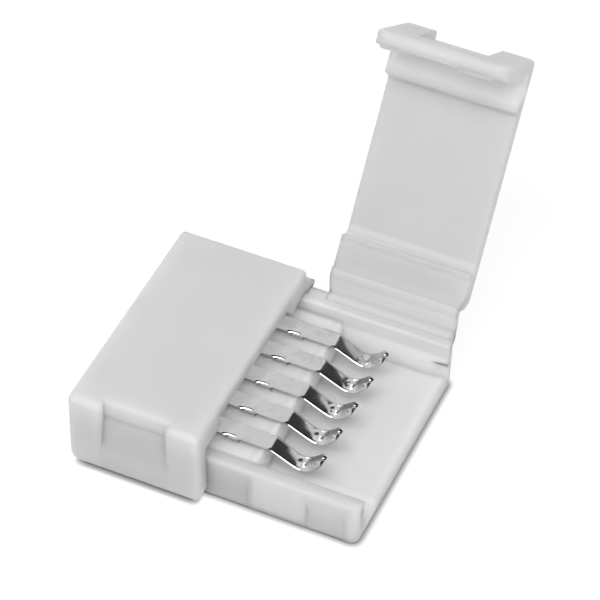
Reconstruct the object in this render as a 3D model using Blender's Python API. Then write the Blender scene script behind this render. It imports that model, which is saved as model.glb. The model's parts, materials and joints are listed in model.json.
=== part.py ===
# Two-ended LED strip connector with five sprung contacts and two snap lids.
# X runs along the strip, Y across it with the hinges at +Y, Z is up.
# The origin is at the middle of the base's underside. All sizes are in metres.

import math

import bmesh
import bpy
from mathutils import Matrix, Vector

MM = 0.001

# Driving dimensions
STRIP_WIDTH = 12.0 * MM
STRIP_PLAY = 0.5 * MM
CONTACT_COUNT = 5
CONTACT_PITCH = 2.35 * MM

BASE_LENGTH = 18.1 * MM
WALL = 0.85 * MM
FLOOR = 1.05 * MM
BACK_WALL_HEIGHT = 3.9 * MM
FRONT_WALL_HEIGHT = 3.1 * MM
FRONT_CORNER_RADIUS = 0.5 * MM
BACK_CORNER_RADIUS = 0.2 * MM
FOOT_ROUND = 0.15 * MM
ENTRY_CHAMFER = 0.3 * MM
FLARE_LENGTH = 1.15 * MM
FLARE_SPREAD = 0.25 * MM
FLARE_TOP = 2.2 * MM
LEDGE_REACH = 0.37 * MM
LEDGE_EDGE = 0.25 * MM
LEDGE_END_INSET = 0.05 * MM

CARRIER_HALF_LENGTH = 2.1 * MM
CARRIER_HEIGHT = 3.05 * MM

CONTACT_WIDTH = 1.2 * MM
CONTACT_THICKNESS = 0.2 * MM
CONTACT_SEAT = 0.05 * MM
RAMP_START = 2.45 * MM
RAMP_BEND = 0.35 * MM
VALLEY_X = 4.4 * MM
VALLEY_DROP = 0.98 * MM
VALLEY_BEND = 0.9 * MM
TIP_X = 5.55 * MM
TIP_DROP = 0.02 * MM
TIP_WIDTH = 0.4 * MM
TIP_ROUND_LENGTH = 0.7 * MM
TIP_SQUARENESS = 2.6
DIMPLE_X = 4.3 * MM
DIMPLE_RADIUS = 0.3 * MM
DIMPLE_DEPTH = 0.08 * MM
LEG_LENGTH_X = 0.9 * MM
LEG_DEPTH = 1.2 * MM
LEG_ROOT = 0.45 * MM
BEND_RADIUS = 0.3 * MM
SLOT_CLEARANCE = 0.06 * MM

LID_TOP = 5.72 * MM
LID_GAP = 1.3 * MM
LID_END_OVERHANG = 0.1 * MM
LID_END_DRAFT = 0.045
RIM_HEIGHT_ABOVE_WALL = 0.15 * MM
LID_RELIEF_DEPTH = 0.5 * MM
LID_RELIEF_SETBACK = 0.15 * MM
LID_REAR_RIM = 2.45 * MM
LID_FRONT_RIM = 2.05 * MM
LID_BACK_INSET = 0.05 * MM
LID_TOP_ROUND = 0.35 * MM
LID_END_ROUND = 0.28 * MM
LID_HINGE_CHAMFER = (0.23 * MM, 0.75 * MM)

FLANGE_CLEARANCE = 0.15 * MM
FLANGE_THICKNESS = 1.1 * MM
FLANGE_LIP_THICKNESS = 0.88 * MM
FLANGE_DRAFT = 0.2 * MM
FLANGE_LIFT = 0.1 * MM
FLANGE_ROUND = 0.42 * MM
FLANGE_CORNER_RADIUS = 1.1 * MM

GRIP_LENGTH = 4.3 * MM
GRIP_DEPTH = 0.6 * MM
GRIP_UNDERCUT = 0.12 * MM
GRIP_FOOT_HEIGHT = 1.3 * MM

CATCH_HEIGHT = 2.6 * MM
CATCH_DEPTH = 0.16 * MM
CATCH_FOOT_HEIGHT = 1.3 * MM
CENTRE_CATCH_END = 2.05 * MM
OUTER_CATCH = (5.75 * MM, 8.2 * MM)
HOOK_SIDE_PLAY = 0.2 * MM
CENTRE_HOOK_START = 0.95 * MM
HOOK_REACH = 0.2 * MM
HOOK_NOSE_HEIGHT = 0.75 * MM
HOOK_RISE = 1.0 * MM
HOOK_LEAD = 0.45 * MM
HOOK_FOOT_REACH = 0.04 * MM
HOOK_FACE_HEIGHT = 0.135 * MM
HOOK_ROOT = 0.35 * MM

HINGE_AXIS_BEHIND = 0.64 * MM
HINGE_AXIS_ABOVE = 0.72 * MM
OPEN_ANGLE = 123.4
FILM_THICKNESS = 0.22 * MM
FILM_INNER_X = 0.57 * MM
FILM_OUTER_INSET = 0.1 * MM
FILM_BASE_DROP = 0.13 * MM
FILM_LID_RISE = 0.35 * MM
FILM_CLOSED_REACH = 0.66 * MM
FILM_OPEN_REACH = 0.4 * MM
FILM_GAP = 0.05 * MM

ARC_STEPS = 5
FILM_STEPS = 14

# Sizes that follow from them
TRAY_HALF_WIDTH = STRIP_WIDTH / 2 + STRIP_PLAY
BASE_HALF_WIDTH = TRAY_HALF_WIDTH + WALL
BASE_HALF_LENGTH = BASE_LENGTH / 2
FLAT_UNDERSIDE = CARRIER_HEIGHT + CONTACT_SEAT
LID_INNER_X = LID_GAP / 2
LID_OUTER_X = BASE_HALF_LENGTH + LID_END_OVERHANG
LID_MIDDLE_X = (LID_INNER_X + LID_OUTER_X) / 2
LID_BACK = BASE_HALF_WIDTH - LID_BACK_INSET
RIM_UNDERSIDE = BACK_WALL_HEIGHT + RIM_HEIGHT_ABOVE_WALL
PLATE_UNDERSIDE = RIM_UNDERSIDE + LID_RELIEF_DEPTH
FLANGE_INSIDE = -(BASE_HALF_WIDTH + FLANGE_CLEARANCE)
FLANGE_OUTSIDE = FLANGE_INSIDE - FLANGE_THICKNESS
HINGE_AXIS = Vector((0, BASE_HALF_WIDTH + HINGE_AXIS_BEHIND, BACK_WALL_HEIGHT + HINGE_AXIS_ABOVE))
CUT_MARGIN = 1.0 * MM
OVERCUT = 0.1 * MM
TOUCH = 0.01 * MM


def clear_scene():
    for old in list(bpy.data.objects):
        bpy.data.objects.remove(old, do_unlink=True)


def plastic(name, colour, roughness):
    material = bpy.data.materials.new(name)
    material.use_nodes = True
    shader = material.node_tree.nodes["Principled BSDF"]
    shader.inputs["Base Color"].default_value = (*colour, 1)
    shader.inputs["Roughness"].default_value = roughness
    return material


def metal(name, colour, roughness):
    material = plastic(name, colour, roughness)
    material.node_tree.nodes["Principled BSDF"].inputs["Metallic"].default_value = 1.0
    return material


def object_from(name, bm, material=None):
    bmesh.ops.recalc_face_normals(bm, faces=bm.faces)
    mesh = bpy.data.meshes.new(name)
    bm.to_mesh(mesh)
    bm.free()
    made = bpy.data.objects.new(name, mesh)
    bpy.context.scene.collection.objects.link(made)
    if material:
        mesh.materials.append(material)
    return made


def arc_corner(before, corner, after, radius, steps=ARC_STEPS):
    """Points that round one corner of an outline with a radius."""
    corner = Vector(corner)
    to_before = (Vector(before) - corner).normalized()
    to_after = (Vector(after) - corner).normalized()
    half = to_before.angle(to_after) / 2
    reach = radius / math.tan(half)
    centre = corner + (to_before + to_after).normalized() * radius / math.sin(half)
    start = corner + to_before * reach - centre
    end = corner + to_after * reach - centre
    sweep = math.atan2(start.x * end.y - start.y * end.x, start.dot(end))
    points = []
    for step in range(steps + 1):
        turn = Matrix.Rotation(sweep * step / steps, 2)
        points.append(tuple(centre + turn @ start))
    return points


def rounded_outline(corners):
    """An outline from (first, second, radius) corners, with arcs where a radius is given."""
    points = []
    for index, (first, second, radius) in enumerate(corners):
        if radius <= 0:
            points.append((first, second))
            continue
        before = corners[index - 1][:2]
        after = corners[(index + 1) % len(corners)][:2]
        points.extend(arc_corner(before, (first, second), after, radius))
    return points


def extrude_outline(outline, place, direction):
    """Extrude a flat outline; place turns each outline point into a position."""
    bm = bmesh.new()
    face = bm.faces.new([bm.verts.new(place(point)) for point in outline])
    grown = bmesh.ops.extrude_face_region(bm, geom=[face])
    moved = [part for part in grown["geom"] if isinstance(part, bmesh.types.BMVert)]
    bmesh.ops.translate(bm, verts=moved, vec=direction)
    return bm


def along_x(outline, start, end):
    """A bar of constant (y, z) section between two x positions."""
    return extrude_outline(outline, lambda p: (start, p[0], p[1]), (end - start, 0, 0))


def along_y(outline, start, end):
    """A bar of constant (x, z) section between two y positions."""
    return extrude_outline(outline, lambda p: (p[0], start, p[1]), (0, end - start, 0))


def along_z(outline, start, end):
    """A block of constant (x, y) plan between two heights."""
    return extrude_outline(outline, lambda p: (p[0], p[1], start), (0, 0, end - start))


def block(low, high):
    outline = [(low[0], low[1]), (high[0], low[1]), (high[0], high[1]), (low[0], high[1])]
    return along_z(outline, low[2], high[2])


def combine(target, tool, operation="DIFFERENCE"):
    """Cut a tool from a target, or join it on, and keep the tool as a hidden guide."""
    tool.hide_render = True
    tool.display_type = "WIRE"
    step = target.modifiers.new(tool.name, "BOOLEAN")
    step.operation = operation
    step.solver = "EXACT"
    step.object = tool


def shade_round(made):
    made.data.shade_smooth()
    made.data.set_sharp_from_angle(angle=math.radians(35))


def ordered(first, second):
    return (min(first, second), max(first, second))


def contact_middles():
    first = -CONTACT_PITCH * (CONTACT_COUNT - 1) / 2
    return [first + CONTACT_PITCH * index for index in range(CONTACT_COUNT)]


def base_plan():
    length, width = BASE_HALF_LENGTH, BASE_HALF_WIDTH
    return rounded_outline([
        (-length, -width, FRONT_CORNER_RADIUS),
        (length, -width, FRONT_CORNER_RADIUS),
        (length, width, BACK_CORNER_RADIUS),
        (-length, width, BACK_CORNER_RADIUS),
    ])


def cut_tray(base, side):
    """The open channel that one strip end slides into, with a chamfered mouth."""
    inner = side * CARRIER_HALF_LENGTH
    outer = side * (BASE_HALF_LENGTH + CUT_MARGIN)
    mouth = side * BASE_HALF_LENGTH
    outline = [
        (inner, FLOOR),
        (mouth - side * ENTRY_CHAMFER, FLOOR),
        (mouth + side * CUT_MARGIN, FLOOR - ENTRY_CHAMFER - CUT_MARGIN),
        (outer, BACK_WALL_HEIGHT + CUT_MARGIN),
        (inner, BACK_WALL_HEIGHT + CUT_MARGIN),
    ]
    word = "left" if side < 0 else "right"
    combine(base, object_from(f"tray_cut_{word}", along_y(outline, -TRAY_HALF_WIDTH, TRAY_HALF_WIDTH)))

    start = side * (BASE_HALF_LENGTH - FLARE_LENGTH)
    past = side * (BASE_HALF_LENGTH + FLARE_LENGTH)
    spread = TRAY_HALF_WIDTH + FLARE_SPREAD * 2
    flare = [(start, -TRAY_HALF_WIDTH), (past, -spread), (past, spread), (start, TRAY_HALF_WIDTH)]
    combine(base, object_from(f"flare_{word}", along_z(flare, FLOOR, FLARE_TOP)))


def add_ledge(base):
    """The ledge along the back wall's top that the hinge films grow from."""
    top = BACK_WALL_HEIGHT
    ledge = [
        (BASE_HALF_WIDTH - WALL / 2, top),
        (BASE_HALF_WIDTH + LEDGE_REACH, top),
        (BASE_HALF_WIDTH + LEDGE_REACH, top - LEDGE_EDGE),
        (BASE_HALF_WIDTH, top - LEDGE_EDGE - LEDGE_REACH),
        (BASE_HALF_WIDTH - WALL / 2, top - LEDGE_EDGE - LEDGE_REACH),
    ]
    end = BASE_HALF_LENGTH - LEDGE_END_INSET
    combine(base, object_from("hinge_ledge", along_x(ledge, -end, end)), "UNION")


def cut_catch(base, first, second, name):
    """A shallow pocket in the front wall that holds the hooks on the lid's flange."""
    face = -BASE_HALF_WIDTH
    outline = [
        (face - CUT_MARGIN, -CUT_MARGIN),
        (face + CATCH_DEPTH, -CUT_MARGIN),
        (face + CATCH_DEPTH, CATCH_FOOT_HEIGHT),
        (face, CATCH_HEIGHT),
        (face - CUT_MARGIN, CATCH_HEIGHT),
    ]
    start, end = ordered(first, second)
    combine(base, object_from(name, along_x(outline, start, end)))


def make_base(material):
    """One moulding: a floor, a tall back wall, a lower front wall and the contact carrier."""
    bm = along_z(base_plan(), 0, BACK_WALL_HEIGHT)
    underside = [edge for edge in bm.edges if all(abs(vert.co.z) < 1e-7 for vert in edge.verts)]
    bmesh.ops.bevel(bm, geom=underside, offset=FOOT_ROUND, segments=2, profile=0.5,
                    affect="EDGES", material=-1)
    base = object_from("base", bm, material)

    carrier_top = block(
        (-CARRIER_HALF_LENGTH - OVERCUT, -TRAY_HALF_WIDTH, CARRIER_HEIGHT),
        (CARRIER_HALF_LENGTH + OVERCUT, TRAY_HALF_WIDTH, BACK_WALL_HEIGHT + CUT_MARGIN),
    )
    combine(base, object_from("carrier_cut", carrier_top))
    for side in (-1, 1):
        cut_tray(base, side)

    front_step = block(
        (-BASE_LENGTH, -BASE_HALF_WIDTH - CUT_MARGIN, FRONT_WALL_HEIGHT),
        (BASE_LENGTH, 0, BACK_WALL_HEIGHT + CUT_MARGIN * 2),
    )
    combine(base, object_from("front_wall_cut", front_step))

    for number, middle in enumerate(contact_middles(), start=1):
        near = middle - CONTACT_WIDTH / 2
        slot = block(
            (-LEG_LENGTH_X / 2 - SLOT_CLEARANCE, near - SLOT_CLEARANCE,
             FLAT_UNDERSIDE - LEG_DEPTH - SLOT_CLEARANCE * 2),
            (LEG_LENGTH_X / 2 + SLOT_CLEARANCE, near + BEND_RADIUS + SLOT_CLEARANCE,
             CARRIER_HEIGHT + CUT_MARGIN),
        )
        combine(base, object_from(f"leg_slot_{number}", slot))

    cut_catch(base, -CENTRE_CATCH_END, CENTRE_CATCH_END, "centre_catch")
    for side, word in ((-1, "left"), (1, "right")):
        cut_catch(base, side * OUTER_CATCH[0], side * OUTER_CATCH[1], f"outer_catch_{word}")
    add_ledge(base)
    shade_round(base)
    return base


def contact_path():
    """Centre line of one contact in x and z, with its half width, from the middle to a tip."""
    flat = FLAT_UNDERSIDE + CONTACT_THICKNESS / 2
    wide = CONTACT_WIDTH / 2
    tip = TIP_WIDTH / 2
    corners = [
        (0, flat, 0),
        (RAMP_START, flat, RAMP_BEND),
        (VALLEY_X, flat - VALLEY_DROP, VALLEY_BEND),
        (TIP_X, flat - TIP_DROP, 0),
    ]
    points = [corners[0][:2]]
    for before, corner, after in zip(corners, corners[1:], corners[2:]):
        points.extend(arc_corner(before[:2], corner[:2], after[:2], corner[2], 4))
    bend_end = Vector(points[-1])
    end = Vector(corners[-1][:2])
    for step in range(1, ARC_STEPS + 1):
        share = math.sin(math.radians(90) * step / ARC_STEPS)
        points.append(tuple(bend_end.lerp(end, share)))

    def half_width(x):
        along = max(0.0, 1 - (TIP_X - x) / TIP_ROUND_LENGTH)
        return tip + (wide - tip) * math.sqrt(max(0.0, 1 - along ** TIP_SQUARENESS))

    return [(x, z, half_width(x)) for x, z in points]


def contact_height(stations, x):
    """Height of the centre line at an x position."""
    for before, after in zip(stations, stations[1:]):
        if before[0] <= x <= after[0]:
            share = (x - before[0]) / (after[0] - before[0])
            return before[1] + (after[1] - before[1]) * share
    raise ValueError("no contact at this x position")


def contact_stations():
    """The whole centre line from the left tip to the right tip."""
    right = contact_path()
    left = [(-x, z, half) for x, z, half in reversed(right[1:])]
    return left + right


def make_contact(name, middle, material):
    """A stamped spring strip: a flat on the carrier, a leg in its slot and two sprung ends."""
    stations = contact_stations()
    bm = bmesh.new()
    rings = []
    for index, (x, z, half) in enumerate(stations):
        before = stations[max(index - 1, 0)]
        after = stations[min(index + 1, len(stations) - 1)]
        along = Vector((after[0] - before[0], after[1] - before[1])).normalized()
        across = Vector((-along.y, along.x)) * CONTACT_THICKNESS / 2
        corners = [(-half, -1), (half, -1), (half, 1), (-half, 1)]
        rings.append([
            bm.verts.new((x + across.x * sign, middle + width, z + across.y * sign))
            for width, sign in corners
        ])
    for first, second in zip(rings, rings[1:]):
        for step in range(4):
            following = (step + 1) % 4
            bm.faces.new((first[step], first[following], second[following], second[step]))
    bm.faces.new(rings[0])
    bm.faces.new(list(reversed(rings[-1])))
    contact = object_from(name, bm, material)

    near = middle - CONTACT_WIDTH / 2
    top = FLAT_UNDERSIDE + CONTACT_THICKNESS
    leg_outline = rounded_outline([
        (near, top, BEND_RADIUS),
        (near, FLAT_UNDERSIDE - LEG_DEPTH, 0),
        (near + CONTACT_THICKNESS, FLAT_UNDERSIDE - LEG_DEPTH, 0),
        (near + CONTACT_THICKNESS, FLAT_UNDERSIDE, BEND_RADIUS - CONTACT_THICKNESS),
        (near + LEG_ROOT, FLAT_UNDERSIDE, 0),
        (near + LEG_ROOT, top, 0),
    ])
    bend_cut = block(
        (-LEG_LENGTH_X / 2, near - OVERCUT, FLAT_UNDERSIDE - OVERCUT),
        (LEG_LENGTH_X / 2, near + BEND_RADIUS, top + OVERCUT),
    )
    combine(contact, object_from(f"{name}_bend_cut", bend_cut))
    leg = object_from(f"{name}_leg", along_x(leg_outline, -LEG_LENGTH_X / 2, LEG_LENGTH_X / 2))
    combine(contact, leg, "UNION")

    surface = contact_height(stations, DIMPLE_X) + CONTACT_THICKNESS / 2
    for side, word in ((-1, "left"), (1, "right")):
        dimple = bmesh.new()
        bmesh.ops.create_uvsphere(dimple, u_segments=12, v_segments=8, radius=DIMPLE_RADIUS)
        place = (side * DIMPLE_X, middle, surface + DIMPLE_RADIUS - DIMPLE_DEPTH)
        bmesh.ops.translate(dimple, verts=dimple.verts, vec=place)
        combine(contact, object_from(f"{name}_dimple_{word}", dimple))
    shade_round(contact)
    return contact


def lid_section():
    """The lid's section when shut: plate, rear rim, relief, front rim and flange."""
    foot = FLANGE_LIFT
    return rounded_outline([
        (FLANGE_OUTSIDE + FLANGE_DRAFT, foot, FLANGE_ROUND),
        (FLANGE_OUTSIDE + FLANGE_LIP_THICKNESS, foot, 0),
        (FLANGE_INSIDE, foot + HOOK_LEAD, 0),
        (FLANGE_INSIDE, RIM_UNDERSIDE, 0),
        (FLANGE_INSIDE + LID_FRONT_RIM, RIM_UNDERSIDE, 0),
        (FLANGE_INSIDE + LID_FRONT_RIM + LID_RELIEF_DEPTH / 2, PLATE_UNDERSIDE, 0),
        (LID_BACK - LID_REAR_RIM - LID_RELIEF_DEPTH / 2, PLATE_UNDERSIDE, 0),
        (LID_BACK - LID_REAR_RIM, RIM_UNDERSIDE, 0),
        (LID_BACK, RIM_UNDERSIDE, 0),
        (LID_BACK, LID_TOP, LID_TOP_ROUND),
        (FLANGE_OUTSIDE, LID_TOP, LID_TOP_ROUND),
    ])


def make_lid(name, side, material):
    """One lid, modelled shut: a thick plate with a flange that snaps over the front wall."""
    inner, outer = side * LID_INNER_X, side * LID_OUTER_X
    bm = along_x(lid_section(), inner, outer)
    flange_front = FLANGE_OUTSIDE + FLANGE_DRAFT + TOUCH
    ends = [
        edge for edge in bm.edges
        if abs(edge.verts[0].co.x - edge.verts[1].co.x) < 1e-7
        and all(vert.co.z > LID_TOP - LID_TOP_ROUND - TOUCH or vert.co.y < flange_front
                for vert in edge.verts)
    ]
    for vert in bm.verts:
        if abs(vert.co.x - inner) < 1e-7:
            vert.co.x += side * (vert.co.z - RIM_UNDERSIDE) * LID_END_DRAFT
    bmesh.ops.bevel(bm, geom=ends, offset=LID_END_ROUND, segments=2, profile=0.5,
                    affect="EDGES", material=-1)
    lid = object_from(name, bm, material)

    setback_start, setback_end = ordered(inner - side * CUT_MARGIN, inner + side * LID_RELIEF_SETBACK)
    setback = block(
        (setback_start, FLANGE_INSIDE + LID_FRONT_RIM, RIM_UNDERSIDE - CUT_MARGIN),
        (setback_end, LID_BACK - LID_REAR_RIM, LID_TOP - LID_RELIEF_DEPTH),
    )
    combine(lid, object_from(f"{name}_setback_cut", setback))

    corners = []
    foot_inner = inner - side * (RIM_UNDERSIDE - FLANGE_LIFT) * LID_END_DRAFT
    for end, way in ((foot_inner, side), (outer, -side)):
        radius = FLANGE_CORNER_RADIUS
        outline = arc_corner(
            (end, FLANGE_LIFT + radius * 3), (end, FLANGE_LIFT), (end + way * radius * 3, FLANGE_LIFT), radius
        )
        outline.append((end + way * radius, FLANGE_LIFT - CUT_MARGIN))
        outline.append((end - way * CUT_MARGIN, FLANGE_LIFT - CUT_MARGIN))
        outline.append((end - way * CUT_MARGIN, FLANGE_LIFT + radius))
        corners.append(along_y(outline, FLANGE_OUTSIDE - CUT_MARGIN, FLANGE_INSIDE + CUT_MARGIN / 2))
    for number, cutter in enumerate(corners, start=1):
        combine(lid, object_from(f"{name}_corner_cut_{number}", cutter))

    across, down = LID_HINGE_CHAMFER
    hinge_corner = [
        (outer + side * across, LID_BACK - down * 2),
        (outer - side * across, LID_BACK),
        (outer - side * across, LID_BACK + CUT_MARGIN),
        (outer + side * CUT_MARGIN, LID_BACK + CUT_MARGIN),
        (outer + side * CUT_MARGIN, LID_BACK - down * 2),
    ]
    chamfer = along_z(hinge_corner, RIM_UNDERSIDE - CUT_MARGIN, LID_TOP + CUT_MARGIN)
    combine(lid, object_from(f"{name}_hinge_chamfer", chamfer))

    grip_floor = FLANGE_OUTSIDE + GRIP_DEPTH
    grip = [
        (FLANGE_OUTSIDE - CUT_MARGIN, LID_TOP + CUT_MARGIN),
        (grip_floor, LID_TOP + CUT_MARGIN),
        (grip_floor, PLATE_UNDERSIDE),
        (grip_floor + GRIP_UNDERCUT, PLATE_UNDERSIDE - GRIP_UNDERCUT),
        (FLANGE_OUTSIDE, GRIP_FOOT_HEIGHT),
        (FLANGE_OUTSIDE - CUT_MARGIN, GRIP_FOOT_HEIGHT),
    ]
    middle = side * LID_MIDDLE_X
    grip_cut = along_x(grip, middle - GRIP_LENGTH / 2, middle + GRIP_LENGTH / 2)
    combine(lid, object_from(f"{name}_grip_cut", grip_cut))

    hook = [
        (FLANGE_INSIDE - HOOK_ROOT, HOOK_NOSE_HEIGHT - HOOK_LEAD),
        (FLANGE_INSIDE + HOOK_FOOT_REACH, HOOK_NOSE_HEIGHT - HOOK_LEAD),
        (FLANGE_INSIDE + HOOK_REACH, HOOK_NOSE_HEIGHT - HOOK_FACE_HEIGHT),
        (FLANGE_INSIDE + HOOK_REACH, HOOK_NOSE_HEIGHT),
        (FLANGE_INSIDE, HOOK_NOSE_HEIGHT + HOOK_RISE),
        (FLANGE_INSIDE - HOOK_ROOT, HOOK_NOSE_HEIGHT + HOOK_RISE),
    ]
    spans = {
        "inner": (CENTRE_HOOK_START, CENTRE_CATCH_END - HOOK_SIDE_PLAY),
        "outer": (OUTER_CATCH[0] + HOOK_SIDE_PLAY, OUTER_CATCH[1] - HOOK_SIDE_PLAY),
    }
    for word, (start, end) in spans.items():
        low, high = ordered(side * start, side * end)
        combine(lid, object_from(f"{name}_{word}_hook", along_x(hook, low, high)), "UNION")
    shade_round(lid)
    return lid


def set_on_hinge(lid, guides, pivot, angle):
    """Give a lid its origin on the hinge axis and turn it open by an angle."""
    shift = Matrix.Translation(-HINGE_AXIS)
    for made in [lid] + guides:
        made.data.transform(shift)
        made.parent = pivot
    pivot.location = HINGE_AXIS
    pivot.rotation_euler = (-math.radians(angle), 0, 0)


def opened(point, angle):
    """Where a point of a shut lid, as (y, z), stands once the lid is open by an angle."""
    turn = math.radians(angle)
    dy = point[0] - HINGE_AXIS.y
    dz = point[1] - HINGE_AXIS.z
    return (HINGE_AXIS.y + dy * math.cos(turn) + dz * math.sin(turn),
            HINGE_AXIS.z - dy * math.sin(turn) + dz * math.cos(turn))


def bezier(start, first, second, end, share):
    rest = 1 - share
    return (start * rest ** 3 + first * 3 * rest ** 2 * share
            + second * 3 * rest * share ** 2 + end * share ** 3)


def film_outline(angle):
    """Section of the thin hinge film, from the back wall to the lid's rear face."""
    start = Vector((BASE_HALF_WIDTH + LEDGE_REACH + FILM_GAP, BACK_WALL_HEIGHT - FILM_BASE_DROP))
    shut_end = (LID_BACK + FILM_GAP, RIM_UNDERSIDE + FILM_LID_RISE)
    end = Vector(opened(shut_end, angle))
    turn = math.radians(angle)
    away = Vector((math.cos(turn), -math.sin(turn)))
    openness = angle / OPEN_ANGLE
    reach = FILM_CLOSED_REACH + (FILM_OPEN_REACH - FILM_CLOSED_REACH) * openness
    first = start + Vector((1, 0)) * reach
    second = end + away * reach
    centres = [bezier(start, first, second, end, step / FILM_STEPS) for step in range(FILM_STEPS + 1)]
    upper, lower = [], []
    for index, centre in enumerate(centres):
        if index == 0:
            along = Vector((1, 0))
        elif index == FILM_STEPS:
            along = -away
        else:
            along = (centres[index + 1] - centres[index - 1]).normalized()
        side = Vector((-along.y, along.x)) * FILM_THICKNESS / 2
        upper.append(tuple(centre + side))
        lower.append(tuple(centre - side))
    return upper + list(reversed(lower))


def make_film(name, side, angle, material):
    start = side * FILM_INNER_X
    end = side * (BASE_HALF_LENGTH - FILM_OUTER_INSET)
    film = object_from(name, along_x(film_outline(angle), start, end), material)
    shade_round(film)
    return film


def guides_of(lid):
    return [step.object for step in lid.modifiers if step.type == "BOOLEAN"]


def build():
    clear_scene()
    milky = {
        name: plastic(f"{name}_plastic", (0.78, 0.78, 0.78), 0.45)
        for name in ("base", "left_lid", "right_lid", "left_hinge_film", "right_hinge_film")
    }
    make_base(milky["base"])
    for number, middle in enumerate(reversed(contact_middles()), start=1):
        tinned = metal(f"contact_{number}_tin", (0.82, 0.82, 0.80), 0.18)
        make_contact(f"contact_{number}", middle, tinned)
    for side, word, angle in ((-1, "left", 0), (1, "right", OPEN_ANGLE)):
        lid = make_lid(f"{word}_lid", side, milky[f"{word}_lid"])
        pivot = bpy.data.objects.new(f"{word}_hinge_axis", None)
        bpy.context.scene.collection.objects.link(pivot)
        set_on_hinge(lid, guides_of(lid), pivot, angle)
        make_film(f"{word}_hinge_film", side, angle, milky[f"{word}_hinge_film"])


build()
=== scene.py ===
# Looks of the snap connector for flat LED strip: milky plastic, tinned contacts, white studio.
# Lengths are in metres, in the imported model's frame: X along the strip, +Y to the hinges, Z up.
import json
import math

import bmesh
import bpy
from mathutils import Matrix, Vector


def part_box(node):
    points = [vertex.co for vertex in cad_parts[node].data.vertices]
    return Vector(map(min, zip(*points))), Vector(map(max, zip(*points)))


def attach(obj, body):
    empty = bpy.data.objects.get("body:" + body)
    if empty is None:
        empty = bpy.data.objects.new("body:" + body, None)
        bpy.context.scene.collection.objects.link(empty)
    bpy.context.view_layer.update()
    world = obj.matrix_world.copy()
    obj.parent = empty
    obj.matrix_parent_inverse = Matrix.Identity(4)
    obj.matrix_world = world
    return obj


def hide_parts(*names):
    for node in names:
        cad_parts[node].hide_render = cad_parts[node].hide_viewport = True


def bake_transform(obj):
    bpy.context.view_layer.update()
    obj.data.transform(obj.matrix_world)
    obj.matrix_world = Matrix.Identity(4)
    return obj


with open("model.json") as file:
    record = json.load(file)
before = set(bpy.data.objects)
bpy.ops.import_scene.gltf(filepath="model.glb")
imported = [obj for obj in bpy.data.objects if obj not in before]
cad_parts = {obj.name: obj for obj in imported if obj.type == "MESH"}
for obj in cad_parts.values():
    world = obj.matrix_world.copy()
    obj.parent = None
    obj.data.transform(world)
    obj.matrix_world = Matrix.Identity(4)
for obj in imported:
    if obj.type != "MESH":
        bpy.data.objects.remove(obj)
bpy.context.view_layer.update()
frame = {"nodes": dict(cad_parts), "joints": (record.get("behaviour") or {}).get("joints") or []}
mm = 0.001

cameraView = {
    "azimuth": 22.226,       # degrees to the right of the front
    "elevation": 44.594,
    "roll": 2.331,
    "distance": 188.882 * mm,
    "target": (-0.256 * mm, 5.132 * mm, 5.179 * mm),
    "lens": 186.464,
    "sensorWidth": 36,
    "clipStart": 0.01,
}


def addCamera(settings):
    az, el, roll = (math.radians(settings[key]) for key in ("azimuth", "elevation", "roll"))
    back = Vector((math.sin(az) * math.cos(el), -math.cos(az) * math.cos(el), math.sin(el)))
    level = (-back).cross(Vector((0, 0, 1))).normalized()
    upright = level.cross(-back)
    right = level * math.cos(roll) + upright * math.sin(roll)
    up = upright * math.cos(roll) - level * math.sin(roll)
    place = Matrix((right, up, back)).transposed().to_4x4()
    place.translation = Vector(settings["target"]) + back * settings["distance"]
    data = bpy.data.cameras.new("camera")
    data.lens = settings["lens"]
    data.sensor_width = settings["sensorWidth"]
    data.clip_start = settings["clipStart"]
    camera = bpy.data.objects.new("camera", data)
    camera.matrix_world = place
    bpy.context.scene.collection.objects.link(camera)
    bpy.context.scene.camera = camera


addCamera(cameraView)
print("camera placed")


# Small helpers for building node trees

rowGap = 220   # between rows of nodes, so that the trees can be read in the editor


def newTree(material):
    material.use_nodes = True
    tree = material.node_tree
    return tree, tree.nodes["Principled BSDF"]


def addNode(tree, kind, place, values=None, **options):
    node = tree.nodes.new(kind)
    node.location = place
    for key, value in options.items():
        setattr(node, key, value)
    for key, value in (values or {}).items():
        node.inputs[key].default_value = value
    return node


def newGroup(name, inputs, outputs):
    group = bpy.data.node_groups.new(name, "ShaderNodeTree")
    for direction, sockets in (("INPUT", inputs), ("OUTPUT", outputs)):
        for label, kind in sockets:
            group.interface.new_socket(name=label, in_out=direction, socket_type=kind)
    entry = addNode(group, "NodeGroupInput", (-900, 0))
    leave = addNode(group, "NodeGroupOutput", (900, 0))
    return group, entry, leave


def placeGroup(tree, group, place, values):
    return addNode(tree, "ShaderNodeGroup", place, values, node_tree=group)


# 1 where a ray comes straight from the camera, a reflection or a clear body, otherwise 0
def seenDirectly(tree, place):
    rays = addNode(tree, "ShaderNodeLightPath", place)
    result = rays.outputs["Is Camera Ray"]
    for step, kind in enumerate(("Is Glossy Ray", "Is Transmission Ray"), 1):
        either = addNode(tree, "ShaderNodeMath", (place[0] + 200 * step, place[1]), operation="MAXIMUM")
        tree.links.new(result, either.inputs[0])
        tree.links.new(rays.outputs[kind], either.inputs[1])
        result = either.outputs[0]
    return result


def pieceFromMesh(name, bm, material, sharpAngle=None):
    mesh = bpy.data.meshes.new(name)
    bm.to_mesh(mesh)
    bm.free()
    mesh.shade_smooth()
    if sharpAngle:
        mesh.set_sharp_from_angle(angle=math.radians(sharpAngle))
    mesh.materials.append(material)
    piece = bpy.data.objects.new(name, mesh)
    bpy.context.scene.collection.objects.link(piece)
    return piece


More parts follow.
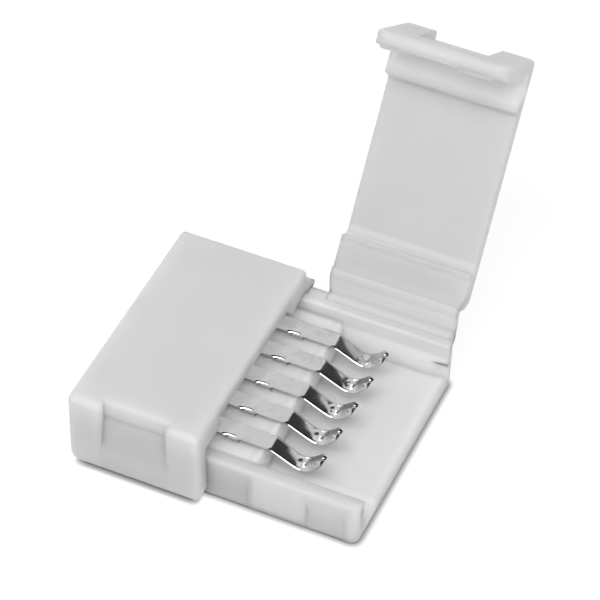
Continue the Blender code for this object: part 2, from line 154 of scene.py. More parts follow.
# A box-shaped area with soft edges, on Object coordinates: 1 inside, 0 outside
def makeZoneGroup():
    group, entry, leave = newGroup(
        "soft zone",
        [("Vector", "NodeSocketVector"), ("Centre", "NodeSocketVector"),
         ("Half Size", "NodeSocketVector"), ("Softness", "NodeSocketFloat")],
        [("Mask", "NodeSocketFloat")])
    link = group.links.new
    offset = addNode(group, "ShaderNodeVectorMath", (-700, 0), operation="SUBTRACT")
    size = addNode(group, "ShaderNodeVectorMath", (-520, 0), operation="ABSOLUTE")
    beyond = addNode(group, "ShaderNodeVectorMath", (-340, 0), operation="SUBTRACT")
    outside = addNode(group, "ShaderNodeVectorMath", (-160, 0), operation="MAXIMUM")
    reach = addNode(group, "ShaderNodeVectorMath", (20, 0), operation="LENGTH")
    share = addNode(group, "ShaderNodeMath", (200, 0), operation="DIVIDE")
    ramp = addNode(group, "ShaderNodeMapRange", (380, 0),
                   {"From Min": 0.0, "From Max": 1.0, "To Min": 1.0, "To Max": 0.0},
                   interpolation_type="SMOOTHSTEP")
    link(entry.outputs["Vector"], offset.inputs[0])
    link(entry.outputs["Centre"], offset.inputs[1])
    link(offset.outputs[0], size.inputs[0])
    link(size.outputs[0], beyond.inputs[0])
    link(entry.outputs["Half Size"], beyond.inputs[1])
    link(beyond.outputs[0], outside.inputs[0])
    link(outside.outputs[0], reach.inputs[0])
    link(reach.outputs["Value"], share.inputs[0])
    link(entry.outputs["Softness"], share.inputs[1])
    link(share.outputs[0], ramp.inputs["Value"])
    link(ramp.outputs["Result"], leave.inputs["Mask"])
    return group


mouldedSkin = {
    "cloud": {"Detail": 3.0, "Roughness": 0.5},
    "speck": {"Detail": 2.0, "Roughness": 0.6},
    "bend": {"Detail": 1.0},
    "scratchLie": {"Rotation": (0.3, 0.2, 0.9), "Scale": (1.0, 0.12, 1.0)},
    "scratchWidth": 0.02,
    "scratchedPatches": {"From Min": 0.5, "From Max": 0.68},
    "speckHeight": 0.5,
    "scratchHeight": -0.6,
}


# Moulded plastic: slow clouding, fine speckle and hairline scratches
def makeMouldingGroup(settings):
    group, entry, leave = newGroup(
        "moulded skin",
        [("Vector", "NodeSocketVector"), ("Cloud Size", "NodeSocketFloat"),
         ("Speck Size", "NodeSocketFloat"), ("Scratch Size", "NodeSocketFloat")],
        [("Cloud", "NodeSocketFloat"), ("Speck", "NodeSocketFloat"), ("Height", "NodeSocketFloat")])
    link = group.links.new
    cloud = addNode(group, "ShaderNodeTexNoise", (-600, 300), settings["cloud"])
    speck = addNode(group, "ShaderNodeTexNoise", (-600, 0), settings["speck"])
    bend = addNode(group, "ShaderNodeTexNoise", (-600, -300), settings["bend"])
    skew = addNode(group, "ShaderNodeMapping", (-400, -300), settings["scratchLie"])
    lines = addNode(group, "ShaderNodeTexVoronoi", (-200, -300), feature="DISTANCE_TO_EDGE")
    thin = addNode(group, "ShaderNodeMapRange", (0, -300),
                   {"From Min": 0.0, "From Max": settings["scratchWidth"], "To Min": 1.0, "To Max": 0.0})
    patchy = addNode(group, "ShaderNodeMapRange", (-200, -560), settings["scratchedPatches"])
    scratch = addNode(group, "ShaderNodeMath", (200, -300), operation="MULTIPLY")
    grainPart = addNode(group, "ShaderNodeMath", (200, 0), {1: settings["speckHeight"]},
                        operation="MULTIPLY")
    cut = addNode(group, "ShaderNodeMath", (400, -200), {1: settings["scratchHeight"]},
                  operation="MULTIPLY")
    height = addNode(group, "ShaderNodeMath", (600, -100), operation="ADD")
    link(entry.outputs["Vector"], cloud.inputs["Vector"])
    link(entry.outputs["Cloud Size"], cloud.inputs["Scale"])
    link(entry.outputs["Vector"], speck.inputs["Vector"])
    link(entry.outputs["Speck Size"], speck.inputs["Scale"])
    link(entry.outputs["Vector"], bend.inputs["Vector"])
    link(entry.outputs["Cloud Size"], bend.inputs["Scale"])
    link(entry.outputs["Vector"], skew.inputs["Vector"])
    link(skew.outputs["Vector"], lines.inputs["Vector"])
    link(entry.outputs["Scratch Size"], lines.inputs["Scale"])
    link(lines.outputs["Distance"], thin.inputs["Value"])
    link(bend.outputs["Fac"], patchy.inputs["Value"])
    link(thin.outputs["Result"], scratch.inputs[0])
    link(patchy.outputs["Result"], scratch.inputs[1])
    link(speck.outputs["Fac"], grainPart.inputs[0])
    link(scratch.outputs[0], cut.inputs[0])
    link(grainPart.outputs[0], height.inputs[0])
    link(cut.outputs[0], height.inputs[1])
    link(cloud.outputs["Fac"], leave.inputs["Cloud"])
    link(speck.outputs["Fac"], leave.inputs["Speck"])
    link(height.outputs[0], leave.inputs["Height"])
    return group


zoneGroup = makeZoneGroup()
mouldingGroup = makeMouldingGroup(mouldedSkin)

plasticFinish = {
    "colour": (0.64, 0.64, 0.642, 1.0),
    "cloudColour": (0.62, 0.621, 0.625, 1.0),
    # painted shade: darkens the grip recess, the front where a hollow shows through the thin wall, and
    # the open lid's step highlight
    "paintedShadeColour": (0.46, 0.46, 0.47, 1.0),
    # painted light: lightens the tray, the carrier and a concave corner against their shade
    "paintedLightColour": (0.80, 0.80, 0.80, 1.0),
    # painted light, stronger: lightens the floor behind the front walls, the open lid under its flange
    # and the film's fold
    "strongPaintedLightColour": (0.9, 0.9, 0.9, 1.0),
    # painted shade: dims the highlights on the ledge, the front corners, the front wall tops and the
    # open lid's hinge end
    "paintedDimmingColour": (0.57, 0.57, 0.575, 1.0),
    # painted reflection: the near black that a piece shows in the metal inside its dark boxes
    "shadeColour": (0.03, 0.03, 0.03, 1.0),
    "cloudRange": {"From Min": 0.3, "From Max": 0.7},
    "grain": {"Cloud Size": 260.0, "Speck Size": 6000.0, "Scratch Size": 420.0},
    "grainHeight": 0.004 * mm,
    "roughness": (0.36, 0.46),
    "scatterWeight": 1.0,
    "scatterScale": 2.2 * mm,
    "softEdge": 0.5 * mm,
    "edgeSamples": 6,
    "specular": 0.3,
    "refraction": 1.49,
}


# Boxes are (centre, half size, softness) in mm, in the frame at rest
def boxMask(tree, coords, boxes, place):
    mask = None
    for index, (centre, half, softness) in enumerate(boxes):
        row = place[1] - rowGap * index
        zone = placeGroup(tree, zoneGroup, (place[0], row), {
            "Centre": tuple(value * mm for value in centre),
            "Half Size": tuple(value * mm for value in half),
            "Softness": softness * mm})
        tree.links.new(coords.outputs["Object"], zone.inputs["Vector"])
        if mask is None:
            mask = zone.outputs["Mask"]
            continue
        join = addNode(tree, "ShaderNodeMath", (place[0] + 200, row), operation="MAXIMUM")
        tree.links.new(mask, join.inputs[0])
        tree.links.new(zone.outputs["Mask"], join.inputs[1])
        mask = join.outputs[0]
    return mask


# Painted reflection: in glossy rays only, the piece glows white and is painted near black in its dark
# boxes, so the metal reflects it brighter and darker than it looks
def paintReflectionInMetal(tree, shader, coords, colour, settings, mirror):
    link = tree.links.new
    rays = addNode(tree, "ShaderNodeLightPath", (-300, 700))
    mask = boxMask(tree, coords, mirror["dark"], (-300, 500))
    share = addNode(tree, "ShaderNodeMath", (0, 600), {1: 0.0}, operation="MULTIPLY")
    shade = addNode(tree, "ShaderNodeMix", (500, 400), data_type="RGBA")
    shade.inputs["B"].default_value = settings["shadeColour"]
    unshaded = addNode(tree, "ShaderNodeMath", (200, 700), operation="SUBTRACT")
    glow = addNode(tree, "ShaderNodeMath", (400, 700), {1: mirror["glow"]}, operation="MULTIPLY")
    link(rays.outputs["Is Glossy Ray"], share.inputs[0])
    if mask:
        link(mask, share.inputs[1])
    link(share.outputs[0], shade.inputs["Factor"])
    link(colour, shade.inputs["A"])
    link(rays.outputs["Is Glossy Ray"], unshaded.inputs[0])
    link(share.outputs[0], unshaded.inputs[1])
    link(unshaded.outputs[0], glow.inputs[0])
    link(glow.outputs[0], shader.inputs["Emission Strength"])
    shader.inputs["Emission Color"].default_value = (1.0, 1.0, 1.0, 1.0)
    return shade.outputs["Result"]


# A zone is (colour key, strength, box) and paints light or shade into the colour. In the solid boxes
# light doesn't travel under the skin.
def milkyPlastic(name, settings, zones=(), mirror=None, solid=()):
    material = bpy.data.materials.new(name)
    tree, shader = newTree(material)
    link = tree.links.new
    shader.location = (900, 0)
    tree.nodes["Material Output"].location = (1200, 0)
    coords = addNode(tree, "ShaderNodeTexCoord", (-1200, 0))
    skin = placeGroup(tree, mouldingGroup, (-900, 0), settings["grain"])
    link(coords.outputs["Object"], skin.inputs["Vector"])
    tone = addNode(tree, "ShaderNodeMix", (-500, 200), data_type="RGBA")
    tone.inputs["A"].default_value = settings["cloudColour"]
    tone.inputs["B"].default_value = settings["colour"]
    spread = addNode(tree, "ShaderNodeMapRange", (-700, 250), settings["cloudRange"])
    link(skin.outputs["Cloud"], spread.inputs["Value"])
    link(spread.outputs["Result"], tone.inputs["Factor"])
    colour = tone.outputs["Result"]
    for index, (key, strength, box) in enumerate(zones):
        row = -200 - rowGap * index
        mask = boxMask(tree, coords, [box], (-500, row))
        fade = addNode(tree, "ShaderNodeMath", (-300, row), {1: strength}, operation="MULTIPLY")
        link(mask, fade.inputs[0])
        toned = addNode(tree, "ShaderNodeMix", (-100, 200 - 120 * index), data_type="RGBA")
        toned.inputs["B"].default_value = settings[key]
        link(fade.outputs[0], toned.inputs["Factor"])
        link(colour, toned.inputs["A"])
        colour = toned.outputs["Result"]
    if mirror:
        colour = paintReflectionInMetal(tree, shader, coords, colour, settings, mirror)
    link(colour, shader.inputs["Base Color"])
    gloss = addNode(tree, "ShaderNodeMapRange", (500, -100),
                    {"To Min": settings["roughness"][0], "To Max": settings["roughness"][1]})
    link(skin.outputs["Speck"], gloss.inputs["Value"])
    link(gloss.outputs["Result"], shader.inputs["Roughness"])
    bump = addNode(tree, "ShaderNodeBump", (500, -400),
                   {"Strength": 1.0, "Distance": settings["grainHeight"]})
    soften = addNode(tree, "ShaderNodeBevel", (300, -600), {"Radius": settings["softEdge"]},
                     samples=settings["edgeSamples"])
    link(soften.outputs["Normal"], bump.inputs["Normal"])
    link(skin.outputs["Height"], bump.inputs["Height"])
    link(bump.outputs["Normal"], shader.inputs["Normal"])
    shader.inputs["Subsurface Weight"].default_value = settings["scatterWeight"]
    mask = boxMask(tree, coords, solid, (-300, -900))
    if mask:
        weight = addNode(tree, "ShaderNodeMapRange", (500, -700),
                         {"To Min": settings["scatterWeight"], "To Max": 0.0})
        link(mask, weight.inputs["Value"])
        link(weight.outputs["Result"], shader.inputs["Subsurface Weight"])
    shader.inputs["Subsurface Scale"].default_value = settings["scatterScale"]
    shader.inputs["Subsurface Radius"].default_value = (1.0, 1.0, 1.0)
    shader.inputs["Specular IOR Level"].default_value = settings["specular"]
    shader.inputs["IOR"].default_value = settings["refraction"]
    return material


# Moulded parts: a merged copy of the solid. The shortest edges hold its bevel down to a hair's
# breadth, which keeps the faces' shading apart. The plastic's softEdge gives the rounded look.

# The catch pockets run out above the foot, so the front's bottom line stays straight
def closePocketFeet(bm, shape):
    foot, face, back = shape["pocketFoot"], shape["frontFace"], shape["pocketBack"]
    bmesh.ops.bisect_plane(bm, geom=bm.verts[:] + bm.edges[:] + bm.faces[:], dist=shape["cutReach"],
                           plane_co=(0, 0, foot), plane_no=(0, 0, 1))
    for vert in bm.verts:
        if abs(vert.co.z - foot) < shape["footReach"] and abs(vert.co.y - back) < shape["backReach"]:
            vert.co.y = face


def mouldedPiece(name, node, body, material, shape):
    bm = bmesh.new()
    bm.from_mesh(frame["nodes"][node].data)
    bmesh.ops.remove_doubles(bm, verts=bm.verts, dist=shape["merge"])
    bmesh.ops.dissolve_limit(bm, angle_limit=math.radians(shape["flatAngle"]),
                             use_dissolve_boundaries=False, verts=bm.verts, edges=bm.edges)
    bmesh.ops.recalc_face_normals(bm, faces=bm.faces)
    if "pocketFoot" in shape:
        closePocketFeet(bm, shape)
    limit = math.radians(shape["edgeAngle"])
    edges = [edge for edge in bm.edges if len(edge.link_faces) == 2 and edge.calc_face_angle(0) > limit]
    bmesh.ops.bevel(bm, geom=edges, offset=shape["edgeRound"], offset_type="OFFSET", affect="EDGES",
                    segments=shape["segments"], profile=0.5, material=-1, clamp_overlap=True)
    piece = pieceFromMesh(name, bm, material)
    weighted = piece.modifiers.new("even shading", "WEIGHTED_NORMAL")
    weighted.keep_sharp = True
    weighted.weight = shape["flatWeight"]
    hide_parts(node)
    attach(piece, body)
    print(name, "made with", len(piece.data.polygons), "faces")


lidShape = {
    "merge": 0.0005 * mm,
    "flatAngle": 0.5,
    "edgeAngle": 30,
    "edgeRound": 0.16 * mm,   # the most that the bevel may take
    "segments": 3,
    "flatWeight": 80,         # how far the large faces lead the shading
}
baseShape = dict(
    lidShape,
    edgeRound=0.1 * mm,
    pocketFoot=0.15 * mm,
    frontFace=-7.35 * mm,
    pocketBack=-7.19 * mm,
    cutReach=0.001 * mm,
    footReach=0.005 * mm,     # how near the foot and the back a moved corner lies
    backReach=0.02 * mm,
)

# Painted light and shade on the base: the tray, the carrier and the floor behind the front walls are
# lightened against their shade; the ledge, the front corners and the front wall tops are dimmed where
# highlights fall; the front is darkened at the middle and near both ends for the shade seen through its
# thin wall
baseZones = [
    ("paintedLightColour", 1.0, ((5.6, 0.0, 2.6), (3.6, 6.2, 1.4), 0.5)),
    ("paintedLightColour", 1.0, ((-5.6, 0.0, 2.6), (3.6, 6.2, 1.4), 0.5)),
    ("paintedLightColour", 1.0, ((0.0, 0.0, 3.2), (1.3, 6.2, 0.4), 0.8)),
    ("strongPaintedLightColour", 1.0, ((5.6, -5.6, 1.05), (3.4, 0.9, 0.3), 0.6)),
    ("strongPaintedLightColour", 1.0, ((-5.6, -5.6, 1.05), (3.4, 0.9, 0.3), 0.6)),
    ("paintedDimmingColour", 1.0, ((0.0, 7.4, 3.3), (9.5, 0.9, 0.3), 0.4)),
    ("paintedDimmingColour", 0.6, ((9.05, -7.0, 1.6), (0.2, 0.8, 1.6), 0.6)),
    ("paintedDimmingColour", 0.6, ((-9.05, -7.0, 1.6), (0.2, 0.8, 1.6), 0.6)),
    ("paintedDimmingColour", 0.9, ((5.0, -6.95, 3.1), (5.0, 0.35, 0.1), 0.3)),
    ("paintedDimmingColour", 0.9, ((-5.0, -6.95, 3.1), (5.0, 0.35, 0.1), 0.3)),
    ("paintedShadeColour", 0.65, ((0.0, -7.35, 1.4), (2.05, 0.25, 1.2), 0.5)),
    ("paintedShadeColour", 0.35, ((6.98, -7.35, 1.2), (1.2, 0.25, 1.3), 0.6)),
    ("paintedShadeColour", 0.35, ((-6.98, -7.35, 1.2), (1.2, 0.25, 1.3), 0.6)),
]
# Painted shade: the shut lid's flange is darker at the grip recess and towards its bottom
flangeZones = [
    ("paintedShadeColour", 0.3, ((-4.9, -8.9, 1.0), (5.0, 0.75, 2.4), 1.6)),
    ("paintedShadeColour", 0.3, ((-4.9, -8.2, 2.0), (2.1, 0.5, 2.1), 0.35)),
]
# Painted light and shade on the open lid: lighter under the flange and in the corner above the step,
# darker at the step's highlight and at the hinge end
openLidZones = [
    ("strongPaintedLightColour", 0.7, ((4.9, 15.6, 17.2), (4.6, 0.5, 0.5), 0.8)),
    ("paintedDimmingColour", 0.6, ((4.9, 8.3, 5.3), (5.0, 0.8, 0.7), 0.5)),
    ("paintedShadeColour", 0.6, ((4.9, 9.2, 7.6), (4.5, 0.12, 0.12), 0.35)),
    ("paintedLightColour", 0.4, ((4.9, 9.8, 7.5), (4.5, 0.15, 0.15), 0.35)),
]
# Painted shade: the open lid is the same plastic, a little darker for how the light falls on its inner
# face
openLidShadedFinish = dict(plasticFinish, colour=(0.60, 0.60, 0.602, 1.0),
                     cloudColour=(0.58, 0.581, 0.585, 1.0))
# Painted reflection: both lids glow in the metal, and the open lid is painted dark there in two boxes
lidPaintedReflection = {"glow": 0.5, "dark": []}
openLidPaintedReflection = {"glow": 0.5, "dark": [((7.0, 11.0, 9.8), (2.7, 4.0, 2.6), 0.3),
                                       ((5.2, 10.0, 8.4), (1.1, 4.0, 2.2), 0.3)]}
ledgeSolid = [((0.0, 7.6, 4.0), (9.5, 0.6, 0.4), 0.5)]
leftLidSolid = [((-4.9, 7.4, 4.6), (5.0, 0.5, 0.7), 0.5)]
rightLidSolid = [((4.9, 8.3, 5.3), (5.0, 0.8, 0.7), 0.5)]
basePlastic = milkyPlastic("basePlastic", plasticFinish, baseZones, None, ledgeSolid)
leftLidPlastic = milkyPlastic("leftLidPlastic", plasticFinish, flangeZones, lidPaintedReflection, leftLidSolid)
rightLidPlastic = milkyPlastic("rightLidPlastic", openLidShadedFinish, openLidZones, openLidPaintedReflection,
                               rightLidSolid)
mouldedPiece("basePiece", "base", "base_body", basePlastic, baseShape)
mouldedPiece("leftLidPiece", "left_lid", "left_lid_body", leftLidPlastic, lidShape)
mouldedPiece("rightLidPiece", "right_lid", "right_lid_body", rightLidPlastic, lidShape)


# Hinge films: a thin strip bent from the back wall's ledge to the lid's rear face

filmShape = {
    "thickness": 0.2 * mm,
    "baseY": 7.72 * mm,       # where the film leaves the ledge
    "baseZ": 3.805 * mm,
    "lidY": 7.3 * mm,         # where it meets the shut lid's rear face
    "lidZ": 4.4 * mm,
    "reachShut": 0.7 * mm,
    "reachOpen": 0.42 * mm,
    "baseOverlap": 0.65 * mm, # how far it runs over the wall's top
    "lidOverlap": 0.35 * mm,  # how far it runs into the lid
    "filletDepth": 0.26 * mm, # its inner side runs out flush with the lid's underside
    "filletStart": 0.1,       # the share of the film before the fillet
    "steps": 24,
    "columns": 12,
    "sharpAngle": 40,
}


def smooth(share):
    share = min(max(share, 0.0), 1.0)
    return share * share * (3 - 2 * share)


def filmPiece(name, node, joint, openAngle, material, shape):
    low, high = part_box(node)
    pivot = Vector(joint["pos_m"])
    turn = Matrix.Rotation(-math.radians(openAngle), 3, "X")
    start = Vector((0, shape["baseY"], shape["baseZ"]))
    end = turn @ (Vector((0, shape["lidY"], shape["lidZ"])) - pivot) + pivot
    away = turn @ Vector((0, 1, 0))
    reach = shape["reachShut"] if openAngle == 0 else shape["reachOpen"]
    first = start + Vector((0, reach, 0))
    second = end + away * reach
    path = [(start - Vector((0, shape["baseOverlap"], 0)), 0)]
    for step in range(shape["steps"] + 1):
        share = step / shape["steps"]
        rest = 1 - share
        point = (start * rest ** 3 + first * 3 * rest ** 2 * share
                 + second * 3 * rest * share ** 2 + end * share ** 3)
        path.append((point, share))
    path.append((end - away * shape["lidOverlap"], 1))
    half = shape["thickness"] / 2
    inner, outer = [], []
    for at, (point, share) in enumerate(path):
        before, after = path[max(at - 1, 0)][0], path[min(at + 1, len(path) - 1)][0]
        along = (after - before).normalized()
        side = Vector((0, -along.z, along.y))
        fillet = smooth((share - shape["filletStart"]) / (1 - shape["filletStart"]))
        inner.append(point + side * (half + shape["filletDepth"] * fillet))
        outer.append(point - side * half)
    ring = inner + outer[::-1]
    bm = bmesh.new()
    loops = []
    for column in range(shape["columns"] + 1):
        x = low[0] + (high[0] - low[0]) * column / shape["columns"]
        loops.append([bm.verts.new((x, point.y, point.z)) for point in ring])
    for one, other in zip(loops, loops[1:]):
        for at in range(len(ring)):
            bm.faces.new((one[at - 1], one[at], other[at], other[at - 1]))
    for loop in (loops[0], loops[-1]):
        for at in range(len(path) - 1):
            bm.faces.new((loop[at], loop[at + 1], loop[-at - 2], loop[-at - 1]))
    bmesh.ops.recalc_face_normals(bm, faces=bm.faces)
    piece = pieceFromMesh(name, bm, material, shape["sharpAngle"])
    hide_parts(node)
    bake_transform(piece)


filmFinish = dict(plasticFinish, scatterWeight=0.0)
# Painted light: the open film is lightened along its fold against the shade there
openFilmZones = [("strongPaintedLightColour", 0.57, ((4.9, 8.0, 4.62), (4.6, 0.8, 0.25), 0.5))]
joints = {joint["name"]: joint for joint in frame["joints"]}
openAngle = -joints["right_lid_hinge"]["range_deg"][0]
filmPiece("leftFilmPiece", "left_hinge_film", joints["left_lid_hinge"], 0,
          milkyPlastic("leftFilmPlastic", filmFinish), filmShape)
filmPiece("rightFilmPiece", "right_hinge_film", joints["right_lid_hinge"], openAngle,
          milkyPlastic("rightFilmPlastic", filmFinish, openFilmZones), filmShape)
print("hinge films made")


# Contacts: a stamped strip with a flat, a leg pressed into the carrier and two sprung ends

contactShape = {
    "width": 1.2 * mm,
    "thickness": 0.24 * mm,
    "top": 3.3 * mm,
    "rampStart": 2.45 * mm,
    "rampBend": 0.1 * mm,       # half the length of the bend, along X
    "valleyX": 4.5 * mm,
    "valleyDrop": 1.03 * mm,
    "valleyBend": 0.65 * mm,
    "tipX": 5.55 * mm,
    "tipDrop": 0.0,
    "tipWidth": 0.6 * mm,
    "tipPower": 2.6,            # how square the tip's outline is
    "narrowFrom": 4.75 * mm,
    "dimpleX": 4.4 * mm,
    "dimpleRadius": 0.42 * mm,
    "dimpleDepth": 0.08 * mm,
    "crown": 0.045 * mm,        # how far the sprung ends are crowned across
    "crownStart": 2.5 * mm,
    "skew": 0.12 * mm,          # how much later the near edge meets the valley
    "edgeRoll": 0.07 * mm,      # the rolled-over upper edge of the sprung ends
    "flatEdgeRoll": 0.012 * mm,
    "edgeRollWidth": 0.17,      # as a share of the half width
    "edgeRollBend": 0.1,
    "legHalfLength": 0.7 * mm,
    "legFullLength": 0.05 * mm, # beyond this, the lip fades out
    "legShare": 0.72,           # the share of the lip that the leg hangs from
    "legBend": 0.3 * mm,
    "legDepth": 0.8 * mm,
    "edgeReach": 0.01 * mm,
    "edgeRound": 0.01 * mm,
    "edgeAngle": 60,
    "sharpAngle": 50,
    "lengthSteps": 160,
    "widthSteps": 16,
    "packing": 0.5,             # how far the length's steps are packed towards the tips
}


def softCorner(past, bend):
    # a change of slope that is rounded over twice the bend
    if past <= -bend:
        return 0.0
    return past if past >= bend else (past + bend) ** 2 / (4 * bend)


def contactHeight(x, shape):
    rampSlope = -shape["valleyDrop"] / (shape["valleyX"] - shape["rampStart"])
    tipSlope = (shape["valleyDrop"] - shape["tipDrop"]) / (shape["tipX"] - shape["valleyX"])
    return (shape["top"] + rampSlope * softCorner(x - shape["rampStart"], shape["rampBend"])
            + (tipSlope - rampSlope) * softCorner(x - shape["valleyX"], shape["valleyBend"]))


def contactHalfWidth(x, shape):
    wide, narrow = shape["width"] / 2, shape["tipWidth"] / 2
    along = max(0.0, (x - shape["narrowFrom"]) / (shape["tipX"] - shape["narrowFrom"]))
    return narrow + (wide - narrow) * math.sqrt(max(0.0, 1 - min(along, 1.0) ** shape["tipPower"]))


def contactPiece(name, node, material, shape):
    low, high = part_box(node)
    middle = high[1] - shape["width"] / 2
    near = middle - shape["width"] / 2
    packing, rollBend = shape["packing"], shape["edgeRollBend"]
    bm = bmesh.new()
    bmesh.ops.create_grid(bm, x_segments=shape["lengthSteps"], y_segments=shape["widthSteps"], size=1)
    for vert in bm.verts:
        x = shape["tipX"] * ((1 + packing) * vert.co.x - packing * vert.co.x ** 3)
        across = math.sin(math.radians(90) * vert.co.y)
        y = middle + across * contactHalfWidth(abs(x), shape)
        sprung = smooth((abs(x) - shape["crownStart"]) / (shape["valleyX"] - shape["crownStart"]))
        z = contactHeight(abs(x) + shape["skew"] * across * sprung, shape)
        z -= shape["crown"] * across ** 2 * sprung
        beforeTip = smooth(2 * (shape["tipX"] - abs(x)) / (shape["tipX"] - shape["narrowFrom"]))
        roll = shape["edgeRoll"] * beforeTip if abs(x) > shape["rampStart"] else shape["flatEdgeRoll"]
        z -= roll * softCorner(1 - (1 - abs(across)) / shape["edgeRollWidth"] - rollBend, rollBend)
        fromDimple = math.hypot(abs(x) - shape["dimpleX"], y - middle) / shape["dimpleRadius"]
        if fromDimple < 1:
            z -= shape["dimpleDepth"] * (1 - fromDimple ** 2) ** 2
        fromEdge = y - near
        if abs(x) < shape["legHalfLength"] and fromEdge < shape["legBend"]:
            lip = smooth((shape["legHalfLength"] - abs(x))
                         / (shape["legHalfLength"] - shape["legFullLength"]))
            angle = math.radians(90) * (1 - fromEdge / shape["legBend"])
            y += (near + shape["legBend"] * (1 - math.sin(angle)) - y) * lip
            z -= shape["legBend"] * (1 - math.cos(angle)) * lip
        vert.co = (x, y, z)
    lipEdges = [edge for edge in bm.edges if edge.is_boundary
                and all(abs(vert.co.x) < shape["legHalfLength"] * shape["legShare"]
                        and vert.co.y < near + shape["edgeReach"] for vert in edge.verts)]
    grown = bmesh.ops.extrude_edge_only(bm, edges=lipEdges)["geom"]
    for part in grown:
        if isinstance(part, bmesh.types.BMVert):
            part.co.z = shape["top"] - shape["legBend"] - shape["legDepth"]
    bmesh.ops.recalc_face_normals(bm, faces=bm.faces)
    top = max(bm.faces, key=lambda face: face.calc_center_median().z)
    if top.normal.z < 0:
        bmesh.ops.reverse_faces(bm, faces=bm.faces)
    bmesh.ops.solidify(bm, geom=bm.faces, thickness=shape["thickness"])
    bmesh.ops.recalc_face_normals(bm, faces=bm.faces)
    limit = math.radians(shape["edgeAngle"])
    edges = [edge for edge in bm.edges if len(edge.link_faces) == 2 and edge.calc_face_angle(0) > limit]
    bmesh.ops.bevel(bm, geom=edges, offset=shape["edgeRound"], affect="EDGES", segments=2,
                    profile=0.5, material=-1, clamp_overlap=True)
    piece = pieceFromMesh(name, bm, material, shape["sharpAngle"])
    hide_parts(node)
    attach(piece, "base_body")


tinFinish = {
    "colour": (0.57, 0.57, 0.567, 1.0),
    "dullColour": (0.5, 0.5, 0.497, 1.0),
    "roughness": (0.07, 0.17),
    "ripple": {"Scale": 2600.0, "Detail": 3.0, "Roughness": 0.55},
    "rippleHeight": 0.004 * mm,
    "drawn": {"Scale": 14000.0, "Detail": 2.0, "Roughness": 0.6},
    "drawnStretch": (0.12, 1.0, 1.0),
    "drawnRange": {"From Min": 0.3, "From Max": 0.7},
    "dull": {"Scale": 900.0, "Detail": 4.0},
    "dullRange": {"From Min": 0.48, "From Max": 0.7},
}


def tinnedMetal(name, settings):
    material = bpy.data.materials.new(name)
    tree, shader = newTree(material)
    link = tree.links.new
    shader.location = (700, 0)
    tree.nodes["Material Output"].location = (1000, 0)
    coords = addNode(tree, "ShaderNodeTexCoord", (-1100, 0))
    ripple = addNode(tree, "ShaderNodeTexNoise", (-700, -300), settings["ripple"])
    stretch = addNode(tree, "ShaderNodeMapping", (-900, 100), {"Scale": settings["drawnStretch"]})
    drawn = addNode(tree, "ShaderNodeTexNoise", (-700, 100), settings["drawn"])
    dull = addNode(tree, "ShaderNodeTexNoise", (-700, 400), settings["dull"])
    link(coords.outputs["Object"], ripple.inputs["Vector"])
    link(coords.outputs["Object"], stretch.inputs["Vector"])
    link(stretch.outputs["Vector"], drawn.inputs["Vector"])
    link(coords.outputs["Object"], dull.inputs["Vector"])
    tone = addNode(tree, "ShaderNodeMix", (-200, 300), data_type="RGBA")
    tone.inputs["A"].default_value = settings["colour"]
    tone.inputs["B"].default_value = settings["dullColour"]
    patches = addNode(tree, "ShaderNodeMapRange", (-450, 400), settings["dullRange"])
    link(dull.outputs["Fac"], patches.inputs["Value"])
    link(patches.outputs["Result"], tone.inputs["Factor"])
    link(tone.outputs["Result"], shader.inputs["Base Color"])
    gloss = addNode(tree, "ShaderNodeMapRange", (-200, 0),
                    {"To Min": settings["roughness"][0], "To Max": settings["roughness"][1],
                     **settings["drawnRange"]})
    link(drawn.outputs["Fac"], gloss.inputs["Value"])
    link(gloss.outputs["Result"], shader.inputs["Roughness"])
    bump = addNode(tree, "ShaderNodeBump", (-200, -300),
                   {"Strength": 1.0, "Distance": settings["rippleHeight"]})
    link(ripple.outputs["Fac"], bump.inputs["Height"])
    link(bump.outputs["Normal"], shader.inputs["Normal"])
    shader.inputs["Metallic"].default_value = 1.0
    return material


tinPlate = tinnedMetal("tinPlate", tinFinish)
for number in range(1, 6):
    contactPiece(f"contactPiece{number}", f"contact_{number}", tinPlate, contactShape)
print("contacts made")


# Studio: a white floor and a white room, with one soft lamp in front and one behind

studio = {
    "roomLight": 0.38,          # what the room gives to dull surfaces
    "floorSize": 1.2,
    "floorColour": (0.9, 0.9, 0.9, 1.0),
    "floorRoughness": 0.8,
    # painted shadow: the floor's glow is dimmed by occlusion near the foot
    "paintedShadowReach": 0.4 * mm,   # how far the dark line at the foot spreads
    "paintedShadowDepth": 2.0,
    "contactSamples": 16,
    "floorGlow": 0.84,
    "floorShare": 0.22,
    # direction, clear radius and soft radius in degrees, darkness
    "darkCards": {
        "darkSide": ((0.713, -0.402, 0.575), 69.5, 72.5, 0.95),
    },
    "lamps": {
        "frontLamp": {"place": (0.06, -0.26, 0.465), "size": (0.5, 0.26), "radiance": 5.6},
        "backLamp": {"place": (-0.33, 0.36, 0.25), "size": (0.15, 0.15), "radiance": 5.0},
    },
}


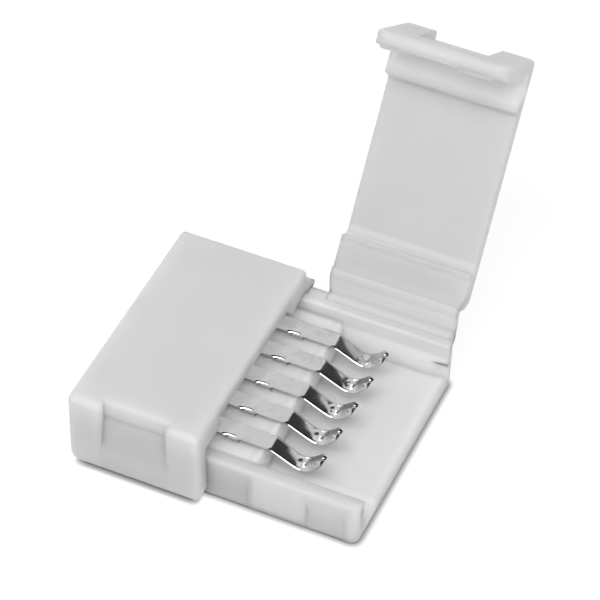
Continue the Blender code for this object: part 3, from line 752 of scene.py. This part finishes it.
def addFloor(settings):
    material = bpy.data.materials.new("whiteFloor")
    tree, shader = newTree(material)
    link = tree.links.new
    output = tree.nodes["Material Output"]
    shader.inputs["Base Color"].default_value = settings["floorColour"]
    shader.inputs["Roughness"].default_value = settings["floorRoughness"]
    shader.inputs["Specular IOR Level"].default_value = 0.0
    seen = seenDirectly(tree, (-700, 500))
    # Painted shadow: what the camera sees of the floor is a glow dimmed by ambient occlusion near the
    # object, with floorShare of the real lit floor mixed in
    contact = addNode(tree, "ShaderNodeAmbientOcclusion", (-700, 200),
                      {"Distance": settings["paintedShadowReach"]}, samples=settings["contactSamples"])
    deeper = addNode(tree, "ShaderNodeMath", (-500, 200), {1: settings["paintedShadowDepth"]},
                     operation="POWER")
    strength = addNode(tree, "ShaderNodeMath", (-300, 200), {1: settings["floorGlow"]},
                       operation="MULTIPLY")
    glow = addNode(tree, "ShaderNodeEmission", (-100, 200))
    plain = addNode(tree, "ShaderNodeEmission", (-100, 0), {"Strength": 0.0})
    dim = addNode(tree, "ShaderNodeMixShader", (100, 300), {"Fac": settings["floorShare"]})
    both = addNode(tree, "ShaderNodeAddShader", (300, 200))
    pick = addNode(tree, "ShaderNodeMixShader", (500, 100))
    link(contact.outputs["AO"], deeper.inputs[0])
    link(deeper.outputs[0], strength.inputs[0])
    link(strength.outputs[0], glow.inputs["Strength"])
    link(plain.outputs[0], dim.inputs[1])
    link(shader.outputs[0], dim.inputs[2])
    link(dim.outputs[0], both.inputs[0])
    link(glow.outputs[0], both.inputs[1])
    link(seen, pick.inputs["Fac"])
    link(shader.outputs[0], pick.inputs[1])
    link(both.outputs[0], pick.inputs[2])
    link(pick.outputs[0], output.inputs["Surface"])
    bm = bmesh.new()
    bmesh.ops.create_grid(bm, x_segments=1, y_segments=1, size=settings["floorSize"] / 2)
    pieceFromMesh("floor", bm, material)


def addLamp(name, settings):
    data = bpy.data.lights.new(name, "AREA")
    data.shape = "RECTANGLE"
    data.size, data.size_y = settings["size"]
    # power of a panel that shines at this radiance
    data.energy = settings["radiance"] * math.pi * data.size * data.size_y
    lamp = bpy.data.objects.new(name, data)
    lamp.location = settings["place"]
    lamp.rotation_euler = (-Vector(settings["place"])).to_track_quat("-Z", "Y").to_euler()
    bpy.context.scene.collection.objects.link(lamp)


def addRoom(settings):
    world = bpy.data.worlds.new("white room")
    bpy.context.scene.world = world
    world.use_nodes = True
    tree = world.node_tree
    link = tree.links.new
    background = tree.nodes["Background"]
    background.inputs["Color"].default_value = (1, 1, 1, 1)
    seen = seenDirectly(tree, (-900, 300))
    level = addNode(tree, "ShaderNodeMapRange", (-300, 300),
                    {"To Min": settings["roomLight"], "To Max": 1.0})
    link(seen, level.inputs["Value"])
    # dark cards that only the mirror-bright metal shows
    coords = addNode(tree, "ShaderNodeTexCoord", (-1300, -200))
    rays = addNode(tree, "ShaderNodeLightPath", (-900, 0))
    strength = level.outputs["Result"]
    for index, (direction, inner, outer, darkness) in enumerate(settings["darkCards"].values()):
        row = -200 - rowGap * index
        facing = addNode(tree, "ShaderNodeVectorMath", (-1100, row), operation="DOT_PRODUCT")
        facing.inputs[1].default_value = Vector(direction).normalized()
        card = addNode(tree, "ShaderNodeMapRange", (-900, row),
                       {"From Min": math.cos(math.radians(outer)),
                        "From Max": math.cos(math.radians(inner)),
                        "To Min": 0.0, "To Max": darkness}, interpolation_type="SMOOTHSTEP")
        shown = addNode(tree, "ShaderNodeMath", (-700, row), operation="MULTIPLY")
        left = addNode(tree, "ShaderNodeMath", (-500, row), {0: 1.0}, operation="SUBTRACT")
        dim = addNode(tree, "ShaderNodeMath", (-100, row), operation="MULTIPLY")
        link(coords.outputs["Generated"], facing.inputs[0])
        link(facing.outputs["Value"], card.inputs["Value"])
        link(card.outputs["Result"], shown.inputs[0])
        link(rays.outputs["Is Glossy Ray"], shown.inputs[1])
        link(shown.outputs[0], left.inputs[1])
        link(strength, dim.inputs[0])
        link(left.outputs[0], dim.inputs[1])
        strength = dim.outputs[0]
    link(strength, background.inputs["Strength"])


addFloor(studio)
for lampName, lampSettings in studio["lamps"].items():
    addLamp(lampName, lampSettings)
addRoom(studio)
bpy.context.scene.view_settings.view_transform = "Standard"
print("studio lit")
